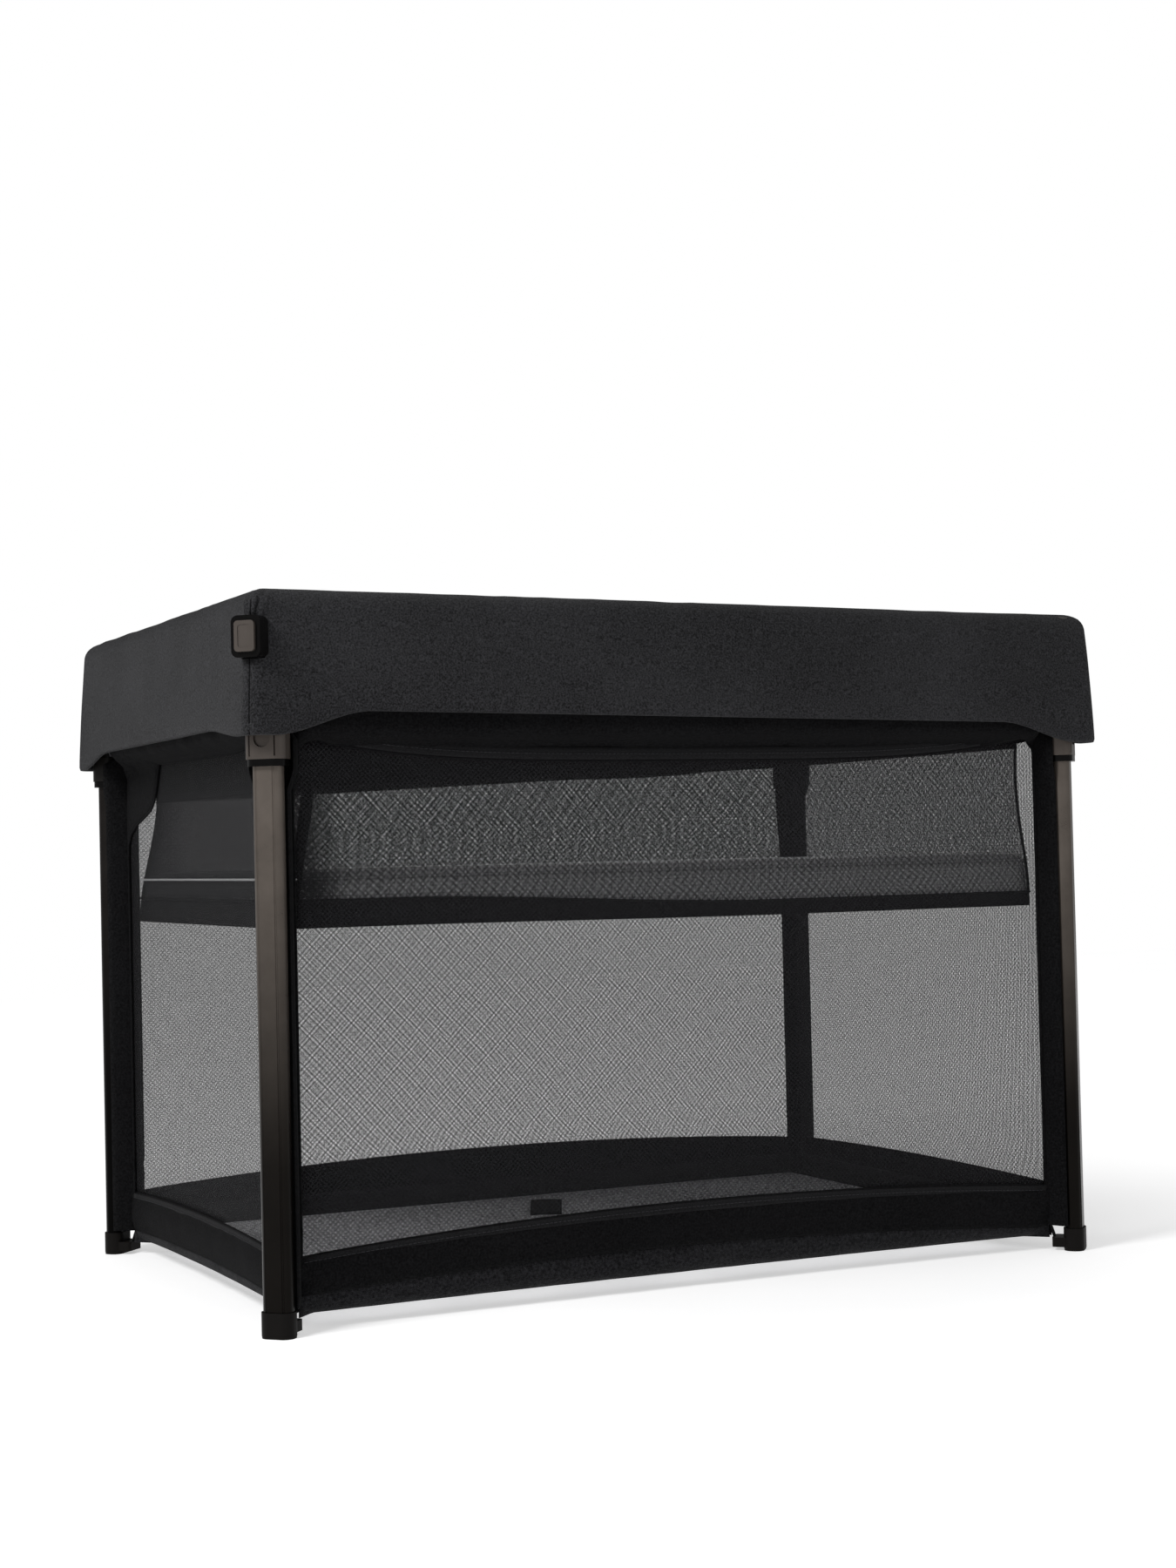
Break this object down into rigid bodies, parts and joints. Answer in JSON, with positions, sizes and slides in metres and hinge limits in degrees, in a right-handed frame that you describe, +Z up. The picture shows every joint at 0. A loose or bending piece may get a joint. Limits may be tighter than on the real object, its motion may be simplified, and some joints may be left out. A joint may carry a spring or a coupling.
{
  "type": "travel play yard",
  "caption": "Folding travel play yard with four metal legs, hidden scissor frame, padded fabric band, mesh walls, and a raised bassinet insert with a folding mattress.",
  "frame": {"origin": "centre of the footprint, on the floor under the feet", "axes": "+X along the long side, +Y along the short side, +Z up"},
  "size_m": [1.0596, 0.7096, 0.75],
  "materials": {
    "leg_metal": "satin taupe metallic paint",
    "black_plastic": "fine textured black",
    "housing_plastic": "matt taupe",
    "bracket_plastic": "satin metallic taupe",
    "bar_metal": "dull grey",
    "button_plastic": "satin metallic taupe",
    "band_fabric": "padded charcoal melange weave",
    "wall_mesh": "knitted mesh with solid fabric edges",
    "floor_fabric": "ribbed grey oxford weave",
    "bassinet_fabric": "dark fabric with mesh windows",
    "strap_webbing": "black webbing",
    "mattress_fabric": "light grey quilted weave"
  },
  "bodies": {
    "leg_fl": {"leg_fl": "leg_metal", "foot_fl": "black_plastic", "housing_fl": "housing_plastic", "bezel_fl": "black_plastic", "band_front": "band_fabric", "wall_front": "wall_mesh"},
    "leg_fr": {"leg_fr": "leg_metal", "foot_fr": "black_plastic", "housing_fr": "housing_plastic", "band_right": "band_fabric", "wall_right": "wall_mesh"},
    "leg_rr": {"leg_rr": "leg_metal", "foot_rr": "black_plastic", "housing_rr": "housing_plastic", "bezel_rr": "black_plastic", "band_rear": "band_fabric", "wall_rear": "wall_mesh"},
    "leg_rl": {"leg_rl": "leg_metal", "foot_rl": "black_plastic", "housing_rl": "housing_plastic", "band_left": "band_fabric", "wall_left": "wall_mesh"},
    "slider_fl": {"slider_fl": "bracket_plastic", "collar_fl": "black_plastic"},
    "slider_fr": {"slider_fr": "bracket_plastic", "collar_fr": "black_plastic"},
    "slider_rl": {"slider_rl": "bracket_plastic", "collar_rl": "black_plastic"},
    "slider_rr": {"slider_rr": "bracket_plastic", "collar_rr": "black_plastic"},
    "front_bar_a1": {"front_bar_a1": "bar_metal"},
    "front_bar_b1": {"front_bar_b1": "bar_metal"},
    "front_bar_a2": {"front_bar_a2": "bar_metal"},
    "front_bar_b2": {"front_bar_b2": "bar_metal"},
    "front_bar_a3": {"front_bar_a3": "bar_metal"},
    "front_bar_b3": {"front_bar_b3": "bar_metal"},
    "rear_bar_a1": {"rear_bar_a1": "bar_metal"},
    "rear_bar_b1": {"rear_bar_b1": "bar_metal"},
    "rear_bar_a2": {"rear_bar_a2": "bar_metal"},
    "rear_bar_b2": {"rear_bar_b2": "bar_metal"},
    "rear_bar_a3": {"rear_bar_a3": "bar_metal"},
    "rear_bar_b3": {"rear_bar_b3": "bar_metal"},
    "left_bar_a1": {"left_bar_a1": "bar_metal"},
    "left_bar_b1": {"left_bar_b1": "bar_metal"},
    "left_bar_a2": {"left_bar_a2": "bar_metal"},
    "left_bar_b2": {"left_bar_b2": "bar_metal"},
    "right_bar_a1": {"right_bar_a1": "bar_metal"},
    "right_bar_b1": {"right_bar_b1": "bar_metal"},
    "right_bar_a2": {"right_bar_a2": "bar_metal"},
    "right_bar_b2": {"right_bar_b2": "bar_metal"},
    "floor_front": {"floor_front": "floor_fabric"},
    "floor_rear": {"floor_rear": "floor_fabric", "floor_strap": "strap_webbing"},
    "bassinet": {"bassinet": "bassinet_fabric"},
    "mattress_2": {"mattress_2": "mattress_fabric"},
    "mattress_1": {"mattress_1": "mattress_fabric"},
    "mattress_3": {"mattress_3": "mattress_fabric"},
    "mattress_4": {"mattress_4": "mattress_fabric"},
    "button_fl": {"button_fl": "button_plastic"},
    "button_rr": {"button_rr": "button_plastic"}
  },
  "joints": [
    {"name": "fold", "type": "hinge", "parent": "leg_fl", "child": "front_bar_a1", "pos_m": [-0.42, -0.312, 0.712], "axis": [0, 1, 0], "range_deg": [0, 60], "deforming": ["band_front", "band_rear", "band_left", "band_right", "wall_front", "wall_rear", "wall_left", "wall_right", "floor_front", "floor_rear", "floor_strap", "bassinet", "mattress_1", "mattress_2", "mattress_3", "mattress_4"]},
    {"name": "front_bar_b1_turn", "type": "hinge", "parent": "front_bar_a1", "child": "front_bar_b1", "pos_m": [-0.28, -0.312, 0.6645], "axis": [0, 1, 0], "range_deg": [-120, 0]},
    {"name": "front_bar_b2_turn", "type": "hinge", "parent": "front_bar_a1", "child": "front_bar_b2", "pos_m": [-0.14, -0.312, 0.617], "axis": [0, 1, 0], "range_deg": [-120, 0]},
    {"name": "front_bar_a2_turn", "type": "hinge", "parent": "front_bar_b2", "child": "front_bar_a2", "pos_m": [0, -0.312, 0.6645], "axis": [0, 1, 0], "range_deg": [0, 120]},
    {"name": "front_bar_a3_turn", "type": "hinge", "parent": "front_bar_b2", "child": "front_bar_a3", "pos_m": [0.14, -0.312, 0.712], "axis": [0, 1, 0], "range_deg": [0, 120]},
    {"name": "front_bar_b3_turn", "type": "hinge", "parent": "front_bar_a3", "child": "front_bar_b3", "pos_m": [0.28, -0.312, 0.6645], "axis": [0, 1, 0], "range_deg": [-120, 0]},
    {"name": "leg_fr_shift", "type": "hinge", "parent": "front_bar_b3", "child": "leg_fr", "pos_m": [0.42, -0.312, 0.712], "axis": [0, 1, 0], "range_deg": [0, 60]},
    {"name": "slider_fl_drop", "type": "hinge", "parent": "front_bar_b1", "child": "slider_fl", "pos_m": [-0.42, -0.312, 0.617], "axis": [0, 1, 0], "range_deg": [0, 60]},
    {"name": "slider_fr_drop", "type": "hinge", "parent": "front_bar_a3", "child": "slider_fr", "pos_m": [0.42, -0.312, 0.617], "axis": [0, 1, 0], "range_deg": [-60, 0]},
    {"name": "left_bar_a1_turn", "type": "hinge", "parent": "leg_fl", "child": "left_bar_a1", "pos_m": [-0.487, -0.28, 0.712], "axis": [-1, 0, 0], "range_deg": [0, 60]},
    {"name": "left_bar_b1_turn", "type": "hinge", "parent": "left_bar_a1", "child": "left_bar_b1", "pos_m": [-0.487, -0.14, 0.6645], "axis": [-1, 0, 0], "range_deg": [-120, 0]},
    {"name": "left_bar_b2_turn", "type": "hinge", "parent": "left_bar_a1", "child": "left_bar_b2", "pos_m": [-0.487, 0, 0.617], "axis": [-1, 0, 0], "range_deg": [-120, 0]},
    {"name": "left_bar_a2_turn", "type": "hinge", "parent": "left_bar_b2", "child": "left_bar_a2", "pos_m": [-0.487, 0.14, 0.6645], "axis": [-1, 0, 0], "range_deg": [0, 120]},
    {"name": "leg_rl_shift", "type": "hinge", "parent": "left_bar_b2", "child": "leg_rl", "pos_m": [-0.487, 0.28, 0.712], "axis": [-1, 0, 0], "range_deg": [0, 60]},
    {"name": "slider_rl_drop", "type": "hinge", "parent": "left_bar_a2", "child": "slider_rl", "pos_m": [-0.487, 0.28, 0.617], "axis": [-1, 0, 0], "range_deg": [-60, 0]},
    {"name": "right_bar_a1_turn", "type": "hinge", "parent": "leg_fr", "child": "right_bar_a1", "pos_m": [0.487, -0.28, 0.712], "axis": [-1, 0, 0], "range_deg": [0, 60]},
    {"name": "right_bar_b1_turn", "type": "hinge", "parent": "right_bar_a1", "child": "right_bar_b1", "pos_m": [0.487, -0.14, 0.6645], "axis": [-1, 0, 0], "range_deg": [-120, 0]},
    {"name": "right_bar_b2_turn", "type": "hinge", "parent": "right_bar_a1", "child": "right_bar_b2", "pos_m": [0.487, 0, 0.617], "axis": [-1, 0, 0], "range_deg": [-120, 0]},
    {"name": "right_bar_a2_turn", "type": "hinge", "parent": "right_bar_b2", "child": "right_bar_a2", "pos_m": [0.487, 0.14, 0.6645], "axis": [-1, 0, 0], "range_deg": [0, 120]},
    {"name": "leg_rr_shift", "type": "hinge", "parent": "right_bar_b2", "child": "leg_rr", "pos_m": [0.487, 0.28, 0.712], "axis": [-1, 0, 0], "range_deg": [0, 60]},
    {"name": "slider_rr_drop", "type": "hinge", "parent": "right_bar_a2", "child": "slider_rr", "pos_m": [0.487, 0.28, 0.617], "axis": [-1, 0, 0], "range_deg": [-60, 0]},
    {"name": "rear_bar_a1_turn", "type": "hinge", "parent": "leg_rl", "child": "rear_bar_a1", "pos_m": [-0.42, 0.312, 0.712], "axis": [0, 1, 0], "range_deg": [0, 60]},
    {"name": "rear_bar_b1_turn", "type": "hinge", "parent": "rear_bar_a1", "child": "rear_bar_b1", "pos_m": [-0.28, 0.312, 0.6645], "axis": [0, 1, 0], "range_deg": [-120, 0]},
    {"name": "rear_bar_b2_turn", "type": "hinge", "parent": "rear_bar_a1", "child": "rear_bar_b2", "pos_m": [-0.14, 0.312, 0.617], "axis": [0, 1, 0], "range_deg": [-120, 0]},
    {"name": "rear_bar_a2_turn", "type": "hinge", "parent": "rear_bar_b2", "child": "rear_bar_a2", "pos_m": [0, 0.312, 0.6645], "axis": [0, 1, 0], "range_deg": [0, 120]},
    {"name": "rear_bar_a3_turn", "type": "hinge", "parent": "rear_bar_b2", "child": "rear_bar_a3", "pos_m": [0.14, 0.312, 0.712], "axis": [0, 1, 0], "range_deg": [0, 120]},
    {"name": "rear_bar_b3_turn", "type": "hinge", "parent": "rear_bar_a3", "child": "rear_bar_b3", "pos_m": [0.28, 0.312, 0.6645], "axis": [0, 1, 0], "range_deg": [-120, 0]},
    {"name": "floor_fold", "type": "hinge", "parent": "leg_fl", "child": "floor_front", "pos_m": [0, -0.292, 0.016], "axis": [1, 0, 0], "range_deg": [0, 76.18]},
    {"name": "floor_ridge", "type": "hinge", "parent": "floor_front", "child": "floor_rear", "pos_m": [0, 0, 0.016], "axis": [1, 0, 0], "range_deg": [-152.36, 0]},
    {"name": "bassinet_lift", "type": "slide", "parent": "leg_fl", "child": "bassinet", "axis": [0, 0, 1], "range_m": [0, 0.45]},
    {"name": "mattress_lift", "type": "slide", "parent": "bassinet", "child": "mattress_2", "axis": [0, 0, 1], "range_m": [0, 0.35]},
    {"name": "mattress_fold", "type": "hinge", "parent": "mattress_2", "child": "mattress_3", "pos_m": [0, 0, 0.4642], "axis": [0, -1, 0], "range_deg": [0, 90]},
    {"name": "mattress_end_fold", "type": "hinge", "parent": "mattress_3", "child": "mattress_4", "pos_m": [0.2305, 0, 0.4642], "axis": [0, -1, 0], "range_deg": [0, 90]},
    {"name": "mattress_head_fold", "type": "hinge", "parent": "mattress_2", "child": "mattress_1", "pos_m": [-0.2305, 0, 0.4642], "axis": [0, 1, 0], "range_deg": [0, 90]},
    {"name": "button_fl_press", "type": "slide", "parent": "leg_fl", "child": "button_fl", "axis": [0.7071, 0.7071, 0], "range_m": [0, 0.004], "stiffness_N_per_m": 600, "springref_m": -0.002},
    {"name": "button_rr_press", "type": "slide", "parent": "leg_rr", "child": "button_rr", "axis": [-0.7071, -0.7071, 0], "range_m": [0, 0.004], "stiffness_N_per_m": 600, "springref_m": -0.002}
  ],
  "couplings": [
    {"joint": "front_bar_b1_turn", "follows": "fold", "ratio": -2},
    {"joint": "front_bar_b2_turn", "follows": "fold", "ratio": -2},
    {"joint": "front_bar_a2_turn", "follows": "fold", "ratio": 2},
    {"joint": "front_bar_a3_turn", "follows": "fold", "ratio": 2},
    {"joint": "front_bar_b3_turn", "follows": "fold", "ratio": -2},
    {"joint": "leg_fr_shift", "follows": "fold", "ratio": 1},
    {"joint": "slider_fl_drop", "follows": "fold", "ratio": 1},
    {"joint": "slider_fr_drop", "follows": "fold", "ratio": -1},
    {"joint": "left_bar_a1_turn", "follows": "fold", "ratio": 1},
    {"joint": "left_bar_b1_turn", "follows": "fold", "ratio": -2},
    {"joint": "left_bar_b2_turn", "follows": "fold", "ratio": -2},
    {"joint": "left_bar_a2_turn", "follows": "fold", "ratio": 2},
    {"joint": "leg_rl_shift", "follows": "fold", "ratio": 1},
    {"joint": "slider_rl_drop", "follows": "fold", "ratio": -1},
    {"joint": "right_bar_a1_turn", "follows": "fold", "ratio": 1},
    {"joint": "right_bar_b1_turn", "follows": "fold", "ratio": -2},
    {"joint": "right_bar_b2_turn", "follows": "fold", "ratio": -2},
    {"joint": "right_bar_a2_turn", "follows": "fold", "ratio": 2},
    {"joint": "leg_rr_shift", "follows": "fold", "ratio": 1},
    {"joint": "slider_rr_drop", "follows": "fold", "ratio": -1},
    {"joint": "rear_bar_a1_turn", "follows": "fold", "ratio": 1},
    {"joint": "rear_bar_b1_turn", "follows": "fold", "ratio": -2},
    {"joint": "rear_bar_b2_turn", "follows": "fold", "ratio": -2},
    {"joint": "rear_bar_a2_turn", "follows": "fold", "ratio": 2},
    {"joint": "rear_bar_a3_turn", "follows": "fold", "ratio": 2},
    {"joint": "rear_bar_b3_turn", "follows": "fold", "ratio": -2},
    {"joint": "floor_fold", "follows": "fold", "ratio": 1.2697},
    {"joint": "floor_ridge", "follows": "fold", "ratio": -2.5394},
    {"joint": "bassinet_lift", "follows": "fold", "m_per_rad": 0.42972},
    {"joint": "mattress_end_fold", "follows": "mattress_fold", "ratio": 1},
    {"joint": "mattress_head_fold", "follows": "mattress_fold", "ratio": 1}
  ]
}
